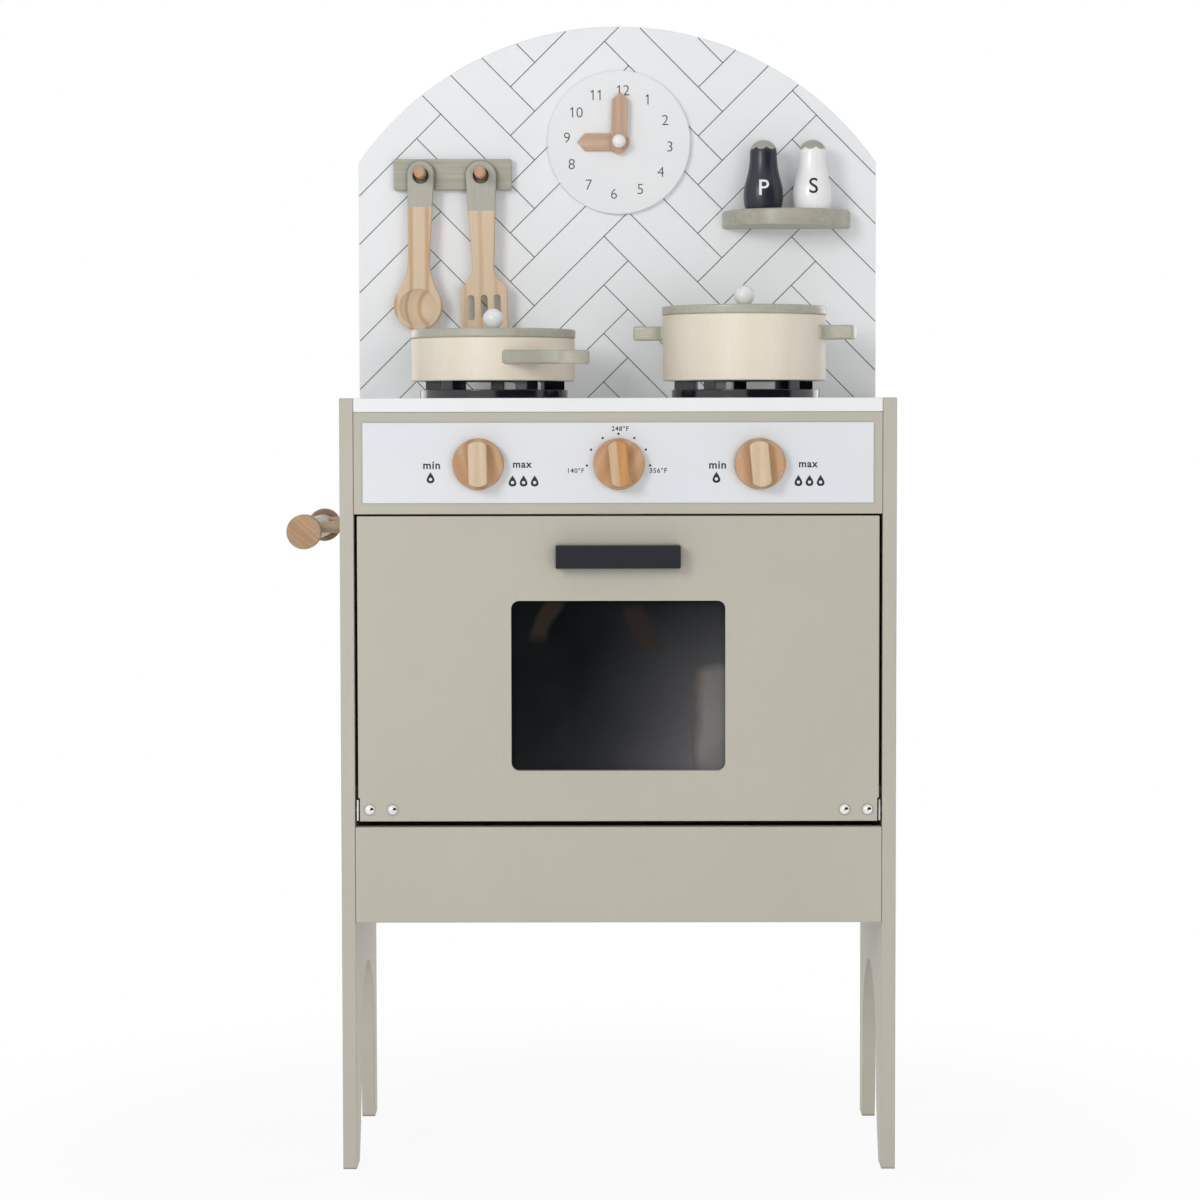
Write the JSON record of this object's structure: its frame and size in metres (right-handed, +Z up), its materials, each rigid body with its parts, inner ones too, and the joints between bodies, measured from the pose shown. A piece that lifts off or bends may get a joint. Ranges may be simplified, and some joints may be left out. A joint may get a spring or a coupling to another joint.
{
  "type": "toy kitchen",
  "caption": "Free-standing wooden toy kitchen with a drop-down oven door, turning knobs, burners with lidded pan and pot, arched backsplash, clock, hanging utensils, shakers and towel bar.",
  "frame": {"origin": "on the floor under the middle of the box around the whole kitchen", "axes": "+X to the right of someone facing the front, +Y from the front to the back, +Z up"},
  "size_m": [0.5234, 0.3048, 1.0049],
  "materials": {
    "greige_paint": "satin paint on board",
    "grey_paint": "satin paint on solid wood",
    "white_paint": "white satin lacquer on board",
    "printed_white": "thin printed sheet",
    "tile_print": "white board printed with thin dark herringbone lines",
    "hardboard": "bare thin hardboard",
    "beech": "clear lacquered beech",
    "light_wood": "clear lacquered pale wood",
    "birch": "clear lacquered pale birch",
    "dipped_wood": "natural wood with a painted upper end",
    "black_plastic": "satin black",
    "black_paint": "satin black paint on wood",
    "smoked_acrylic": "dark glossy sheet",
    "chrome": "polished",
    "steel": "zinc plated",
    "navy_paint": "satin paint on turned wood",
    "white_wood": "white lacquer on turned wood"
  },
  "bodies": {
    "cabinet": {"side_panel_right": "greige_paint", "side_panel_left": "greige_paint", "worktop": "white_paint", "control_fascia": "greige_paint", "control_plate": "printed_white", "lower_fascia": "greige_paint", "oven_floor": "greige_paint", "bottom_board": "greige_paint", "back_panel": "hardboard", "backsplash": "tile_print", "carcass_screws": "steel", "carcass_dowels": "beech", "fitting_screws": "steel", "hinge_pins": "steel", "magnet_catch": "black_plastic", "burner_left": "black_plastic", "burner_right": "black_plastic", "utensil_rail": "grey_paint", "utensil_pegs": "beech", "spice_shelf": "grey_paint", "clock_dial": "white_paint", "clock_pin": "steel", "clock_cap": "white_wood", "towel_bar": "grey_paint", "towel_bar_ends": "beech", "towel_standoffs": "beech"},
    "door": {"oven_door": "greige_paint", "oven_window": "smoked_acrylic", "door_handle": "black_paint", "handle_screws": "steel", "hinge_bracket_right": "chrome", "hinge_bracket_left": "chrome", "hinge_bolts": "chrome", "hinge_nuts": "steel", "catch_plate": "steel"},
    "knob_left": {"knob_disc_left": "beech", "knob_grip_left": "light_wood", "knob_screw_left": "steel"},
    "knob_middle": {"knob_disc_middle": "beech", "knob_grip_middle": "light_wood", "knob_screw_middle": "steel"},
    "knob_right": {"knob_disc_right": "beech", "knob_grip_right": "light_wood", "knob_screw_right": "steel"},
    "hour_hand": {"hour_hand": "light_wood"},
    "minute_hand": {"minute_hand": "light_wood"},
    "pan": {"pan_body": "birch", "pan_handle": "grey_paint"},
    "pan_lid": {"pan_lid": "grey_paint", "pan_lid_knob": "white_wood"},
    "pot": {"pot_body": "birch", "pot_handles": "grey_paint"},
    "pot_lid": {"pot_lid": "grey_paint", "pot_lid_knob": "white_wood"},
    "spoon": {"wooden_spoon": "dipped_wood"},
    "turner": {"slotted_turner": "dipped_wood"},
    "pepper": {"pepper_shaker": "navy_paint", "pepper_cap": "grey_paint"},
    "salt": {"salt_shaker": "white_wood", "salt_cap": "grey_paint"}
  },
  "joints": [
    {"name": "door_hinge", "type": "hinge", "parent": "cabinet", "child": "door", "pos_m": [0.024, -0.08757, 0.3112], "axis": [1, 0, 0], "range_deg": [0, 90]},
    {"name": "knob_left_turn", "type": "hinge", "parent": "cabinet", "child": "knob_left", "pos_m": [-0.0949, -0.09487, 0.6073], "axis": [0, 1, 0], "continuous": true},
    {"name": "knob_middle_turn", "type": "hinge", "parent": "cabinet", "child": "knob_middle", "pos_m": [0.0249, -0.09487, 0.6073], "axis": [0, 1, 0], "continuous": true},
    {"name": "knob_right_turn", "type": "hinge", "parent": "cabinet", "child": "knob_right", "pos_m": [0.1447, -0.09487, 0.6073], "axis": [0, 1, 0], "continuous": true},
    {"name": "hour_hand_turn", "type": "hinge", "parent": "cabinet", "child": "hour_hand", "pos_m": [0.0256, 0.13413, 0.899], "axis": [0, 1, 0], "continuous": true},
    {"name": "minute_hand_turn", "type": "hinge", "parent": "cabinet", "child": "minute_hand", "pos_m": [0.0256, 0.12983, 0.899], "axis": [0, 1, 0], "continuous": true},
    {"name": "pan_lift", "type": "slide", "parent": "cabinet", "child": "pan", "axis": [0, 0, 1], "range_m": [0, 0.03]},
    {"name": "pan_lid_lift", "type": "slide", "parent": "pan", "child": "pan_lid", "axis": [0, 0, 1], "range_m": [0, 0.04]},
    {"name": "pot_lift", "type": "slide", "parent": "cabinet", "child": "pot", "axis": [0, 0, 1], "range_m": [0, 0.03]},
    {"name": "pot_lid_lift", "type": "slide", "parent": "pot", "child": "pot_lid", "axis": [0, 0, 1], "range_m": [0, 0.04]},
    {"name": "spoon_swing", "type": "hinge", "parent": "cabinet", "child": "spoon", "pos_m": [-0.1554, 0.12913, 0.8697], "axis": [0, 1, 0], "range_deg": [-3, 20]},
    {"name": "turner_swing", "type": "hinge", "parent": "cabinet", "child": "turner", "pos_m": [-0.1006, 0.12913, 0.8697], "axis": [0, 1, 0], "range_deg": [-20, 3]},
    {"name": "pepper_lift", "type": "slide", "parent": "cabinet", "child": "pepper", "axis": [0, 0, 1], "range_m": [0, 0.08]},
    {"name": "salt_lift", "type": "slide", "parent": "cabinet", "child": "salt", "axis": [0, 0, 1], "range_m": [0, 0.08]}
  ]
}
